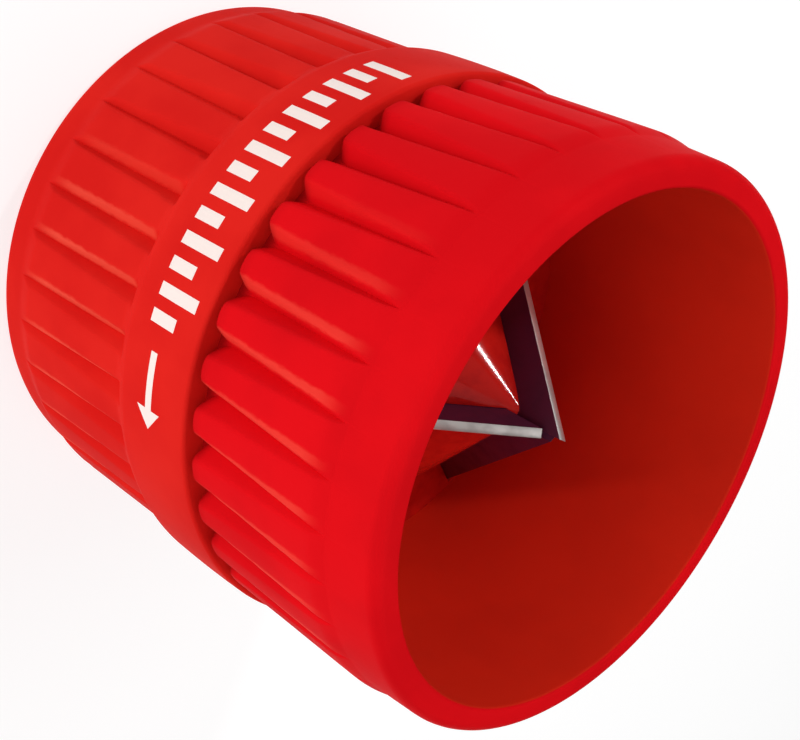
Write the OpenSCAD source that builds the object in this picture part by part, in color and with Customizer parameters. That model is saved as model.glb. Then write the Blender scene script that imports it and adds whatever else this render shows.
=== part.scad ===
// Hand deburring tool for the ends of metal and plastic tube.
// A ribbed barrel in two shells holds a blade carrier made of a cone nested on a funnel.
// Three flat blades pass through both, so their front edges stand out of the cone and ream
// the inside of a tube, and their rear edges stand into the funnel and trim its outside.
// The tool stands on its rear rim, with the barrel's axis along Z and the reaming mouth up.

/* [Barrel] */
// Length of the barrel, rim to rim
overall_length = 58; // [52:0.5:70]
// Diameter over the smooth central band
band_d = 58.5; // [48:0.5:72]
// Width of the central band
band_w = 9.2; // [8.4:0.2:12]
// Thickness of the band around the joint of the two shells
band_wall = 2.55; // [2:0.05:3.5]
// Thickness of the wall at each rim
rim_wall = 2.85; // [2:0.05:3.4]
// Radius of the outer edge of each rim
rim_round = 1.2; // [0.6:0.1:1.6]
// Radius of the inner edge of each rim
mouth_round = 0.5; // [0.2:0.1:0.8]

/* [Grip ribs] */
// Number of ribs round each shell
rib_count = 36; // [24:1:40]
// Step from the band down to the crests of the front ribs
front_rib_step = 0.4; // [0.2:0.1:0.8]
// Step from the band down to the crests of the rear ribs
rear_rib_step = 0.8; // [0.2:0.1:1.2]
// Step from the rib crests down to the smooth rims
rim_step = 0.5; // [0.2:0.1:0.8]
// Depth of the front grooves beside the band
front_groove_depth = 1.4; // [0.8:0.05:1.6]
// Depth of the rear grooves beside the band
rear_groove_depth = 1.1; // [0.7:0.05:1.5]
// Half of the angle between the walls of a front groove
front_groove_half_angle = 38; // [25:1:42]
// Half of the angle between the walls of a rear groove
rear_groove_half_angle = 47; // [35:1:48]
// Distance from a rim to the tips of the grooves
groove_tip_inset = 3.5; // [2.5:0.1:5]
// Distance from a rim to where the rib crests reach full height
rib_crest_inset = 6; // [5.5:0.1:8]
// Width of the flat floor of the seam between the band and the front ribs
seam_w = 0.7; // [0.4:0.1:1.2]
// Depth of that seam below the front rib crests
seam_depth = 1.55; // [1:0.05:1.9]

/* [Joint of the shells] */
// Wall of the front shell's spigot inside the band
spigot_wall = 1.8; // [1.4:0.1:2.2]
// Height of the snap bead above the spigot
snap_height = 0.3; // [0.2:0.05:0.4]
// Radius of the snap bead's section
snap_radius = 0.5; // [0.45:0.05:0.7]
// Distance of the snap bead above the carrier's flange
snap_rise = 2.4; // [1.6:0.1:2.6]
// Angle that each locking tenon spans
tenon_angle = 14; // [8:1:24]
// Radial thickness of the tenons
tenon_t = 1.3; // [1:0.1:1.5]
// Depth that the tenons reach into the rear shell's shoulder
tenon_reach = 1.5; // [1:0.1:2]

/* [Carrier] */
// Half of the angle of the cone and of the funnel
cone_half_angle = 45; // [42:1:48]
// Width of the flat floor between the cone and the cup's wall
floor_ring_w = 5.4; // [4.8:0.1:7]
// Thickness of the cone's flange, clamped between the shells
flange_t = 4.2; // [3.6:0.1:4.8]
// Thickness of the cone's wall
cone_wall = 2.5; // [2:0.1:3]
// Thickness of the funnel's wall
funnel_wall = 2.5; // [2:0.1:3]
// Width of the lip round the funnel's mouth
funnel_lip = 1; // [0.6:0.1:1.6]
// Gap between the funnel and the rear shell's bore
funnel_gap = 0.25; // [0.1:0.05:0.5]

/* [Blades] */
// Thickness of a blade
blade_t = 1.1; // [0.8:0.1:1.6]
// Height of the blade edges above the cone and above the funnel
blade_proud = 3.15; // [2.5:0.05:4.5]
// Ring of the funnel left uncut outside the blades
blade_ring_w = 2.1; // [1.6:0.1:3]
// Distance of the two short blades' tips from the axis
short_tip_r = 1.3; // [1.2:0.05:2]
// Gap between a blade's outer end and the cup's wall
blade_clear = 0.45; // [0.2:0.05:0.8]
// Distance that the long blade's tip passes beyond the axis
long_tip_reach = 0.4; // [0:0.1:0.5]
// Distance from a blade's shoulder in to its pin
pin_inset = 9; // [7:0.5:10]

/* [Pins and screws] */
// Diameter of a blade pin
pin_d = 2.5; // [2:0.1:2.8]
// Length of a blade pin
pin_l = 8; // [6:0.5:9]
// Diameter of a clamp screw over its thread
screw_d = 2.9; // [2.5:0.1:3.2]
// Length of a clamp screw under its head
screw_l = 6; // [5.4:0.1:6.2]
// Distance between the turns of the screw's thread
screw_pitch = 1; // [0.8:0.1:1.2]
// Depth of the screw's thread
thread_depth = 0.3; // [0.2:0.05:0.4]
// Diameter of a screw's head
head_d = 4.6; // [4.2:0.1:4.8]
// Height of a screw's head
head_h = 1.7; // [1.4:0.1:2]
// Distance of the screws' axes inside the funnel's outer wall
screw_edge = 3; // [2.8:0.1:3.4]
// Thickness of the funnel under a screw's head
screw_seat_t = 2.6; // [2:0.1:2.8]

/* [Fits] */
// Gap on each side of a sliding or locating fit
slip = 0.05; // [0.02:0.01:0.1]
// Gap round a screw's head in its pocket
head_gap = 0.2; // [0.1:0.05:0.3]

/* [Hidden] */
$fn = 96;
eps = 0.01;

// Angles of the three blades round the axis, the long one first. The screws lie between them.
blade_angles = [90, 210, 330];
screw_angles = [150, 270, 30];

// Outside of the barrel
band_r = band_d / 2;
band_z0 = (overall_length - band_w) / 2;
band_z1 = band_z0 + band_w;
band_edge = 0.5;
front_rib_r = band_r - front_rib_step;
rear_rib_r = band_r - rear_rib_step;
front_rim_r = front_rib_r - rim_step;
rear_rim_r = rear_rib_r - rim_step;
seam_r = front_rib_r - seam_depth;
seam_top_z = band_z1 + seam_w;

// Inside of the barrel
front_mouth_r = front_rim_r - rim_wall;
rear_mouth_r = rear_rim_r - rim_wall;
socket_r = band_r - band_wall;
spigot_r = socket_r - slip;
cup_r = spigot_r - spigot_wall;
floor_z = band_z0 + flange_t;
snap_z = floor_z + snap_rise;
snap_centre_r = spigot_r + snap_height - snap_radius;

// Carrier, with each cone given by the height of its apex
cone_base_r = cup_r - floor_ring_w;
face_apex_z = floor_z + cone_base_r / tan(cone_half_angle);
cone_back_apex_z = face_apex_z - cone_wall / sin(cone_half_angle);
funnel_top_apex_z = cone_back_apex_z - slip / sin(cone_half_angle);
funnel_apex_z = funnel_top_apex_z - funnel_wall / sin(cone_half_angle);
funnel_r = cup_r - funnel_gap;
funnel_mouth_r = funnel_r - funnel_lip;

// Blades
front_edge_apex_z = face_apex_z + blade_proud / sin(cone_half_angle);
rear_edge_apex_z = funnel_apex_z - blade_proud / sin(cone_half_angle);
blade_end_r = cup_r - blade_clear;
blade_foot_r = funnel_r - blade_ring_w;
tip_r = [-long_tip_reach, short_tip_r, short_tip_r];
pin_r = blade_foot_r - pin_inset;
pin_z = cone_z(cone_back_apex_z, pin_r);

// Screws
screw_r = funnel_r - screw_edge;
screw_seat_z = band_z0 - screw_seat_t;
screw_hole_d = screw_d + 2 * slip;
head_pocket_d = head_d + 2 * head_gap;
drive_w = 0.7;
drive_l = 2.6;
drive_depth = 1;

// Height on a cone of the given apex at radius r
function cone_z(apex_z, r) = apex_z - r / tan(cone_half_angle);

// Radius on a cone of the given apex at height z
function cone_r(apex_z, z) = (apex_z - z) * tan(cone_half_angle);

// Points of an arc about c, from angle a0 to a1
function arc(c, r, a0, a1, steps = 6) =
    [for (i = [0:steps]) c + r * [cos(a0 + (a1 - a0) * i / steps), sin(a0 + (a1 - a0) * i / steps)]];

// V-shaped groove cutter along +Z, whose floor climbs from radius r0 at z0 to r1 at z1
module groove(r0, z0, r1, z1, half_angle, start_over, end_over) {
    floor_half_w = 0.12;
    reach = 4;
    top_half_w = floor_half_w + reach * tan(half_angle);
    slope = atan2(r1 - r0, z1 - z0);
    run = norm([r1 - r0, z1 - z0]);
    translate([r0, 0, z0])
        rotate([0, slope, 0])
            translate([0, 0, -start_over])
                rotate([0, 0, -90])
                    linear_extrude(run + start_over + end_over)
                        polygon([
                            [-floor_half_w, 0], [floor_half_w, 0],
                            [top_half_w, reach], [-top_half_w, reach]
                        ]);
}

// All grooves of one shell
module grooves(r0, z0, r1, z1, half_angle, start_over) {
    for (i = [0:rib_count - 1])
        rotate([0, 0, blade_angles[0] + i * 360 / rib_count])
            groove(r0, z0, r1, z1, half_angle, start_over, 2);
}

// Ring sectors for the locking tenons, or for their pockets when grown
module tenons(bottom_z, top_z, grow = 0, inward = 1) {
    span = tenon_angle + 2 * grow * 180 / (PI * cup_r);
    for (a = screw_angles)
        rotate([0, 0, a - span / 2])
            rotate_extrude(angle = span)
                translate([cup_r - inward, bottom_z - grow])
                    square([tenon_t + inward + grow, top_z - bottom_z + grow]);
}

// Front half of the barrel: ribs, rim, reaming cup, and the spigot that plugs into the band
module front_shell() {
    finger_round = seam_depth;
    tenon_z = band_z0 - tenon_reach;
    color("red")
    difference() {
        union() {
            difference() {
                rotate_extrude()
                    polygon(concat(
                        [[cup_r - 1, floor_z], [spigot_r, floor_z]],
                        [[spigot_r, band_z1], [seam_r, band_z1]],
                        arc([seam_r, seam_top_z + finger_round], finger_round, -90, 0, 4),
                        [[front_rib_r, overall_length - rib_crest_inset]],
                        [[front_rim_r, overall_length - groove_tip_inset]],
                        arc([front_rim_r - rim_round, overall_length - rim_round],
                            rim_round, 0, 90),
                        [[cup_r - 1, overall_length]]
                    ));
                grooves(front_rib_r - front_groove_depth, seam_top_z + finger_round,
                    front_rim_r, overall_length - groove_tip_inset,
                    front_groove_half_angle, finger_round + seam_w);
            }
            rotate_extrude()
                translate([snap_centre_r, snap_z])
                    circle(snap_radius);
            tenons(tenon_z, floor_z + 0.5, 0, 0.5);
        }
        rotate_extrude()
            polygon(concat(
                [[0, tenon_z - 1], [cup_r, tenon_z - 1], [cup_r, floor_z]],
                arc([front_mouth_r + mouth_round, overall_length - mouth_round],
                    mouth_round, 180, 90, 4),
                [[front_mouth_r + mouth_round, overall_length + 1], [0, overall_length + 1]]
            ));
    }
}

// Rear half of the barrel: ribs, rim, trimming mouth, and the band with its socket
module rear_shell() {
    color("red")
    difference() {
        rotate_extrude()
            polygon(concat(
                arc([rear_mouth_r + mouth_round, mouth_round], mouth_round, 180, 270, 4),
                arc([rear_rim_r - rim_round, rim_round], rim_round, -90, 0),
                [[rear_rim_r, groove_tip_inset], [rear_rib_r, rib_crest_inset]],
                [[rear_rib_r, band_z0 - band_edge], [band_r, band_z0]],
                arc([band_r - band_edge, band_z1 - band_edge], band_edge, 0, 90, 4),
                [[socket_r, band_z1], [socket_r, band_z0], [cup_r, band_z0]]
            ));
        translate([0, 0, band_z0 - band_edge])
            mirror([0, 0, 1])
                grooves(rear_rib_r - rear_groove_depth, 0,
                    rear_rim_r, band_z0 - band_edge - groove_tip_inset,
                    rear_groove_half_angle, 0);
        rotate_extrude()
            translate([snap_centre_r, snap_z])
                circle(snap_radius + slip);
        tenons(band_z0 - tenon_reach, band_z0 + eps, slip);
    }
}

// Slots for the blades, out to radius end_r
module blade_slots(end_r) {
    slot_t = blade_t + 2 * slip;
    for (i = [0:2])
        rotate([0, 0, blade_angles[i]])
            translate([tip_r[i] - slip, -slot_t / 2, 0])
                cube([end_r - tip_r[i] + 2 * slip, slot_t, overall_length]);
}

// Cylinder across each blade: a pin, or its seat when grown
module pin_at(i, grow = 0) {
    rotate([0, 0, blade_angles[i]])
        translate([pin_r, 0, pin_z])
            rotate([90, 0, 0])
                cylinder(h = pin_l + 2 * grow, d = pin_d + 2 * grow, center = true);
}

// Cone that carries the blades' front edges, with the flange that the shells clamp
module reaming_cone() {
    color("firebrick")
    difference() {
        rotate_extrude()
            polygon([
                [0, face_apex_z], [0, cone_back_apex_z],
                [cone_r(cone_back_apex_z, band_z0), band_z0], [spigot_r, band_z0],
                [spigot_r, floor_z], [cone_base_r, floor_z]
            ]);
        blade_slots(blade_end_r);
        for (i = [0:2]) {
            pin_at(i, slip);
            rotate([0, 0, screw_angles[i]])
                translate([screw_r, 0, band_z0 - eps])
                    cylinder(h = screw_seat_z + screw_l - band_z0 + slip + eps, d = screw_hole_d);
        }
        tenons(band_z0 - 1, floor_z + 1, slip, slip);
    }
}

// Funnel that carries the blades' rear edges, screwed to the cone's flange
module chamfering_funnel() {
    color("firebrick")
    difference() {
        rotate_extrude()
            polygon([
                [0, funnel_top_apex_z], [0, funnel_apex_z],
                [funnel_mouth_r, cone_z(funnel_apex_z, funnel_mouth_r)],
                [funnel_r, cone_z(funnel_apex_z, funnel_mouth_r)],
                [funnel_r, band_z0],
                [cone_r(funnel_top_apex_z, band_z0), band_z0]
            ]);
        blade_slots(blade_foot_r);
        for (i = [0:2]) {
            pin_at(i, slip);
            rotate([0, 0, screw_angles[i]])
                translate([screw_r, 0, 0]) {
                    cylinder(h = band_z0 + 1, d = screw_hole_d);
                    cylinder(h = screw_seat_z, d = head_pocket_d);
                }
        }
    }
}

// Blade: its sloping sides are the cutting edges, and its shoulder rests on the funnel
module blade(i) {
    color("slategray")
    rotate([0, 0, blade_angles[i]])
        difference() {
            translate([0, blade_t / 2, 0])
                rotate([90, 0, 0])
                    linear_extrude(blade_t)
                        polygon([
                            [tip_r[i], cone_z(front_edge_apex_z, tip_r[i])],
                            [tip_r[i], cone_z(rear_edge_apex_z, tip_r[i])],
                            [blade_foot_r, cone_z(rear_edge_apex_z, blade_foot_r)],
                            [blade_foot_r, band_z0],
                            [blade_end_r, band_z0],
                            [blade_end_r, cone_z(front_edge_apex_z, blade_end_r)]
                        ]);
            translate([pin_r, 0, pin_z])
                rotate([90, 0, 0])
                    cylinder(h = 2 * blade_t, d = pin_d + 2 * slip, center = true);
        }
}

module blade_pin(i) {
    color("silver") pin_at(i);
}

// Self-tapping screw, head down, with its thread as rings and a cross recess
module clamp_screw(i) {
    core_r = screw_d / 2 - thread_depth;
    turns = floor(screw_l / screw_pitch) - 1;
    color("silver")
    rotate([0, 0, screw_angles[i]])
        translate([screw_r, 0, screw_seat_z])
            difference() {
                union() {
                    translate([0, 0, -head_h])
                        cylinder(h = head_h, d = head_d);
                    cylinder(h = screw_l, r = core_r);
                    for (k = [1:turns])
                        translate([0, 0, k * screw_pitch]) {
                            cylinder(h = screw_pitch / 3, r1 = core_r, r2 = screw_d / 2);
                            translate([0, 0, screw_pitch / 3])
                                cylinder(h = screw_pitch / 3, r1 = screw_d / 2, r2 = core_r);
                        }
                }
                for (a = [0, 90])
                    rotate([0, 0, a])
                        translate([-drive_l / 2, -drive_w / 2, -head_h - eps])
                            cube([drive_l, drive_w, drive_depth + eps]);
            }
}

front_shell();
rear_shell();
reaming_cone();
chamfering_funnel();
blade(0);  // blade_long
blade(1);  // blade_short_1
blade(2);  // blade_short_2
blade_pin(0);  // blade_pin_1
blade_pin(1);  // blade_pin_2
blade_pin(2);  // blade_pin_3
clamp_screw(0);  // clamp_screw_1
clamp_screw(1);  // clamp_screw_2
clamp_screw(2);  // clamp_screw_3
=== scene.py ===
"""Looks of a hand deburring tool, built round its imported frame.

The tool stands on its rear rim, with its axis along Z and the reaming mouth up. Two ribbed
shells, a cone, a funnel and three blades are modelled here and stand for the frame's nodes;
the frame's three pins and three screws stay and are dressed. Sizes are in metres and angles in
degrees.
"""

from __future__ import annotations

import logging
import math
from dataclasses import dataclass, field
from enum import Enum
from typing import Callable, Sequence

import bmesh
import bpy
import numpy as np
from mathutils import Matrix, Vector

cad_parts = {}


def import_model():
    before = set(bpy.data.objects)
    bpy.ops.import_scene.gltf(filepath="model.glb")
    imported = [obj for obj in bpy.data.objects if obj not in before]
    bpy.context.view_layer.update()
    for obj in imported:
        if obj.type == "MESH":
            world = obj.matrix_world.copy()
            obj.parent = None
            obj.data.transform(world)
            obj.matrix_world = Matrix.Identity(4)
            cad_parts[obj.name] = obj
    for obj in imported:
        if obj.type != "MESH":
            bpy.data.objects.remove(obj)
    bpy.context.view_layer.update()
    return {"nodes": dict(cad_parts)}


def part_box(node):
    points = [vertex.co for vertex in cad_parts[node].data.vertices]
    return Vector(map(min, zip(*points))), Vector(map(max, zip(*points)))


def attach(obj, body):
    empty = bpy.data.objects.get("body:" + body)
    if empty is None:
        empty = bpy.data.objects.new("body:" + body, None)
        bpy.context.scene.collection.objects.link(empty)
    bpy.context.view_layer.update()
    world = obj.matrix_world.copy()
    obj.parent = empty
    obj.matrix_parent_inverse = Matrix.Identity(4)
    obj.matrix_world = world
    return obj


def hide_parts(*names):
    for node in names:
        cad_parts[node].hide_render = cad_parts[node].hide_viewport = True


LOG = logging.getLogger("deburring_tool")
MM = 0.001
BODY = "root"
BLADE_ANGLES = (90.0, 210.0, 330.0)
SCREW_ANGLES = (150.0, 270.0, 30.0)
RIB_COUNT = 36
FULL_TURN = 360.0
WELD = 0.002 * MM
RIM_MARGIN = 6.0 * MM
REAR_RIM_MARGIN = 4.2 * MM
BAND_MARGIN = 2.2 * MM

# Places of the colour sockets of a Mix node.
MIX_FIRST, MIX_SECOND, MIX_RESULT = 6, 7, 2

Point = tuple[float, float]


class Slot(Enum):
    """Material slots of the record. No piece in this script uses them."""

    SHELL = "shell_plastic"
    CARRIER = "carrier_plastic"
    BLADE = "blade_steel"


# ---------------------------------------------------------------------------------------------
# Small maths
# ---------------------------------------------------------------------------------------------


def ease(x: np.ndarray | float) -> np.ndarray | float:
    """Smooth step of x, from 0 at x = 0 to 1 at x = 1."""
    x = np.clip(x, 0.0, 1.0)
    return x * x * (3.0 - 2.0 * x)


def soft_positive(x: np.ndarray, softness: float) -> np.ndarray:
    """Positive part of x, with its corner rounded over the given softness."""
    return 0.5 * (x + np.sqrt(x * x + softness * softness))


def arc(centre: Point, radius: float, start: float, end: float, steps: int) -> list[Point]:
    """Points of an arc in the (radius, height) plane.

    Args:
        centre: Centre of the arc.
        radius: Radius of the arc.
        start: First angle, counted from the outward direction towards +Z.
        end: Last angle.
        steps: Number of chords.

    Returns:
        The points, both ends included.
    """
    angles = np.radians(np.linspace(start, end, steps + 1))
    return [(centre[0] + radius * math.cos(a), centre[1] + radius * math.sin(a)) for a in angles]


def column(radius: Callable[[float], float], start: float, end: float, pitch: float) -> list[Point]:
    """Points up or down a stretch of profile whose radius is a function of height.

    Args:
        radius: Radius at a height.
        start: First height.
        end: Last height, which is left out.
        pitch: Greatest distance between heights.

    Returns:
        The points, the last height excluded.
    """
    count = max(1, math.ceil(abs(end - start) / pitch))
    return [(radius(z), z) for z in np.linspace(start, end, count, endpoint=False)]


# ---------------------------------------------------------------------------------------------
# Modelling helpers
# ---------------------------------------------------------------------------------------------


def deselect_all() -> None:
    """Leave nothing selected in object mode."""
    if bpy.context.object is not None and bpy.context.object.mode != "OBJECT":
        bpy.ops.object.mode_set(mode="OBJECT")
    bpy.ops.object.select_all(action="DESELECT")


def activate(piece: bpy.types.Object) -> None:
    """Make piece the only selected and the active object."""
    deselect_all()
    piece.select_set(True)
    bpy.context.view_layer.objects.active = piece


def place_here(piece: bpy.types.Object) -> None:
    """Move the object's place, turn and scale into its mesh."""
    activate(piece)
    bpy.ops.object.transform_apply(location=True, rotation=True, scale=True)


def apply_modifier(piece: bpy.types.Object, kind: str, **settings: object) -> None:
    """Add a modifier to piece and apply it.

    Args:
        piece: The object.
        kind: Modifier type, such as "BEVEL".
        settings: Its settings.
    """
    activate(piece)
    modifier = piece.modifiers.new(kind.title(), kind)
    for name, value in settings.items():
        setattr(modifier, name, value)
    bpy.ops.object.modifier_apply(modifier=modifier.name)


def paint_bore(piece: bpy.types.Object, radius: float) -> None:
    """Give the faces inside a radius the piece's second material.

    Args:
        piece: The object.
        radius: Radius about the tool's axis.
    """
    for face in piece.data.polygons:
        if math.hypot(face.center.x, face.center.y) < radius:
            face.material_index = 1


def cut(piece: bpy.types.Object, cutters: Sequence[bpy.types.Object]) -> None:
    """Cut piece by each cutter, and remove the cutters.

    Args:
        piece: The object that stays.
        cutters: Closed meshes.
    """
    for cutter in cutters:
        apply_modifier(piece, "BOOLEAN", operation="DIFFERENCE", object=cutter, solver="EXACT")
        bpy.data.objects.remove(cutter, do_unlink=True)


def break_edges(piece: bpy.types.Object, width: float, **settings: float) -> None:
    """Bevel the sharp edges of piece.

    Args:
        piece: The object.
        width: Width of the bevel.
        settings: Other settings of the modifier.
    """
    apply_modifier(piece, "BEVEL", width=width, segments=2, limit_method="ANGLE", **settings)


def close_and_orient(piece: bpy.types.Object) -> None:
    """Merge doubled vertices of piece and turn its faces outwards.

    Args:
        piece: The object.
    """
    activate(piece)
    bpy.ops.object.mode_set(mode="EDIT")
    bpy.ops.mesh.select_all(action="SELECT")
    bpy.ops.mesh.remove_doubles(threshold=WELD)
    bpy.ops.mesh.normals_make_consistent(inside=False)
    bpy.ops.object.mode_set(mode="OBJECT")


def shade(piece: bpy.types.Object, crease: float) -> None:
    """Shade piece smooth, with edges over the crease angle kept sharp."""
    activate(piece)
    bpy.ops.object.shade_smooth_by_angle(angle=math.radians(crease))


def lathe(
    name: str,
    profile: Sequence[Point],
    steps: int,
    closed: bool = True,
    copies: int = 1,
    shape: Callable[..., tuple[np.ndarray, ...]] | None = None,
) -> bpy.types.Object:
    """Turn a profile round Z, as on a lathe.

    Args:
        name: Name of the new object.
        profile: (radius, height) points. With closed false, it starts and ends on the axis.
        steps: Number of columns in each sector.
        closed: True joins the last point to the first, as for a ring.
        copies: Number of equal sectors that make up the whole turn.
        shape: What to press into each sector, as press takes it.

    Returns:
        The new object, closed and facing outwards.
    """
    piece = draw_chain(name, [(radius, 0.0, height) for radius, height in profile])
    if closed:
        bridge_ends(piece)
    bpy.ops.mesh.select_all(action="SELECT")
    bpy.ops.mesh.spin(steps=steps, angle=math.tau / copies, center=(0, 0, 0), axis=(0, 0, 1))
    bpy.ops.object.mode_set(mode="OBJECT")
    if shape is not None:
        press(piece, shape)
    if copies > 1:
        repeat_round(piece, copies)
    close_and_orient(piece)
    return piece


def draw_chain(name: str, points: Sequence[Sequence[float]]) -> bpy.types.Object:
    """Draw a chain of edges as a new object.

    Args:
        name: Name of the new object.
        points: The chain's points.

    Returns:
        The new object, in edit mode with all of it selected.
    """
    deselect_all()
    bpy.ops.mesh.primitive_plane_add(size=MM, location=(0, 0, 0))
    piece = bpy.context.object
    piece.name = name
    bpy.ops.object.mode_set(mode="EDIT")
    bpy.ops.mesh.select_all(action="SELECT")
    bpy.ops.mesh.merge(type="CENTER")
    last = Vector(points[0])
    bpy.ops.transform.translate(value=last)
    for point in points[1:]:
        here = Vector(point)
        bpy.ops.mesh.extrude_region_move(TRANSFORM_OT_translate={"value": here - last})
        last = here
    bpy.ops.mesh.select_all(action="SELECT")
    return piece


def repeat_round(piece: bpy.types.Object, copies: int) -> None:
    """Repeat a sector round Z until it closes on itself, and weld the copies.

    Args:
        piece: The sector.
        copies: Number of sectors in the whole turn.
    """
    deselect_all()
    bpy.ops.object.empty_add(rotation=(0, 0, math.tau / copies))
    pivot = bpy.context.object
    bpy.context.view_layer.update()
    apply_modifier(
        piece,
        "ARRAY",
        count=copies,
        use_relative_offset=False,
        use_object_offset=True,
        offset_object=pivot,
        use_merge_vertices=True,
        merge_threshold=WELD,
    )
    bpy.data.objects.remove(pivot, do_unlink=True)


def plate(name: str, outline: Sequence[Point], thickness: float) -> bpy.types.Object:
    """Cut a plate to an outline in the XZ plane.

    Args:
        name: Name of the new object.
        outline: (x, z) points round the plate.
        thickness: Thickness, half on each side of the plane.

    Returns:
        The new object.
    """
    piece = draw_chain(name, [(x, -thickness / 2, z) for x, z in outline])
    bpy.ops.mesh.edge_face_add()
    bpy.ops.mesh.extrude_region_move(TRANSFORM_OT_translate={"value": (0, thickness, 0)})
    bpy.ops.object.mode_set(mode="OBJECT")
    close_and_orient(piece)
    return piece


def bridge_ends(piece: bpy.types.Object) -> None:
    """Join the two loose ends of an open chain of edges, in edit mode.

    Args:
        piece: The object that holds the chain.
    """
    mesh = bmesh.from_edit_mesh(piece.data)
    ends = [vertex for vertex in mesh.verts if len(vertex.link_edges) == 1]
    for element in (*mesh.verts, *mesh.edges):
        element.select = False
    for vertex in ends:
        vertex.select = True
    bmesh.update_edit_mesh(piece.data)
    bpy.ops.mesh.edge_face_add()


def press(piece: bpy.types.Object, shape: Callable[..., tuple[np.ndarray, ...]]) -> None:
    """Move the vertices of a turned piece, given in cylindrical coordinates.

    Args:
        piece: The object.
        shape: Takes arrays of radius, angle in radians and height, and returns them moved.
    """
    count = len(piece.data.vertices)
    flat = np.empty(count * 3)
    piece.data.vertices.foreach_get("co", flat)
    x, y, z = flat.reshape(-1, 3).T
    radius, angle, height = shape(np.hypot(x, y), np.arctan2(y, x), z.copy())
    moved = np.stack((radius * np.cos(angle), radius * np.sin(angle), height), axis=1)
    piece.data.vertices.foreach_set("co", moved.ravel())
    piece.data.update()


def box(name: str, low: Sequence[float], high: Sequence[float], turn: float) -> bpy.types.Object:
    """Add a box between two corners, then turn it about Z.

    Args:
        name: Name of the new object.
        low: Lowest corner.
        high: Highest corner.
        turn: Angle about Z.

    Returns:
        The new object.
    """
    deselect_all()
    centre = [(a + b) / 2 for a, b in zip(low, high)]
    spans = [b - a for a, b in zip(low, high)]
    bpy.ops.mesh.primitive_cube_add(size=1, location=centre, scale=spans)
    piece = bpy.context.object
    piece.name = name
    place_here(piece)
    turn_about_z(piece, turn)
    return piece


def rod(name: str, radius: float, start: Vector, end: Vector, sides: int = 48) -> bpy.types.Object:
    """Add a cylinder between two points.

    Args:
        name: Name of the new object.
        radius: Its radius.
        start: Centre of its first end.
        end: Centre of its last end.
        sides: Number of sides.

    Returns:
        The new object.
    """
    deselect_all()
    along = end - start
    bpy.ops.mesh.primitive_cylinder_add(
        vertices=sides,
        radius=radius,
        depth=along.length,
        location=(start + end) / 2,
        rotation=along.to_track_quat("Z", "Y").to_euler(),
    )
    piece = bpy.context.object
    piece.name = name
    place_here(piece)
    return piece


def turn_about_z(piece: bpy.types.Object, angle: float) -> None:
    """Turn a piece about the tool's axis, in its mesh."""
    piece.data.transform(Matrix.Rotation(math.radians(angle), 4, "Z"))
    piece.data.update()


# ---------------------------------------------------------------------------------------------
# Shader helpers
# ---------------------------------------------------------------------------------------------


class Wire:
    """A socket with arithmetic: an expression on wires adds its Math nodes."""

    def __init__(self, bench: "Bench", socket: bpy.types.NodeSocket) -> None:
        """Wrap an output socket of the bench's node tree."""
        self.bench = bench
        self.socket = socket

    def _math(self, operation: str, *values: "Wire | float") -> "Wire":
        """Add a Math node."""
        return self.bench.add("ShaderNodeMath", {"operation": operation}, dict(enumerate(values)))

    def __add__(self, other: "Wire | float") -> "Wire":
        """Sum."""
        return self._math("ADD", self, other)

    def __sub__(self, other: "Wire | float") -> "Wire":
        """Difference."""
        return self._math("SUBTRACT", self, other)

    def __rsub__(self, other: float) -> "Wire":
        """Difference from a number."""
        return self._math("SUBTRACT", other, self)

    def __mul__(self, other: "Wire | float") -> "Wire":
        """Product."""
        return self._math("MULTIPLY", self, other)

    def __truediv__(self, other: "Wire | float") -> "Wire":
        """Quotient."""
        return self._math("DIVIDE", self, other)

    def __gt__(self, other: "Wire | float") -> "Wire":
        """1 where this is the greater."""
        return self._math("GREATER_THAN", self, other)

    def __lt__(self, other: "Wire | float") -> "Wire":
        """1 where this is the smaller."""
        return self._math("LESS_THAN", self, other)

    __radd__ = __add__
    __rmul__ = __mul__

    def size(self) -> "Wire":
        """Value without its sign."""
        return self._math("ABSOLUTE", self)

    def fraction(self) -> "Wire":
        """Part after the point."""
        return self._math("FRACT", self)

    def whole(self) -> "Wire":
        """Part before the point."""
        return self._math("FLOOR", self)

    def most(self, other: "Wire | float") -> "Wire":
        """The greater of two values."""
        return self._math("MAXIMUM", self, other)

    def step(self, low: float, high: float) -> "Wire":
        """Smooth rise from 0 at low to 1 at high."""
        settings = {"interpolation_type": "SMOOTHSTEP"}
        inputs = {"Value": self, "From Min": low, "From Max": high}
        return self.bench.add("ShaderNodeMapRange", settings, inputs)


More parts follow.
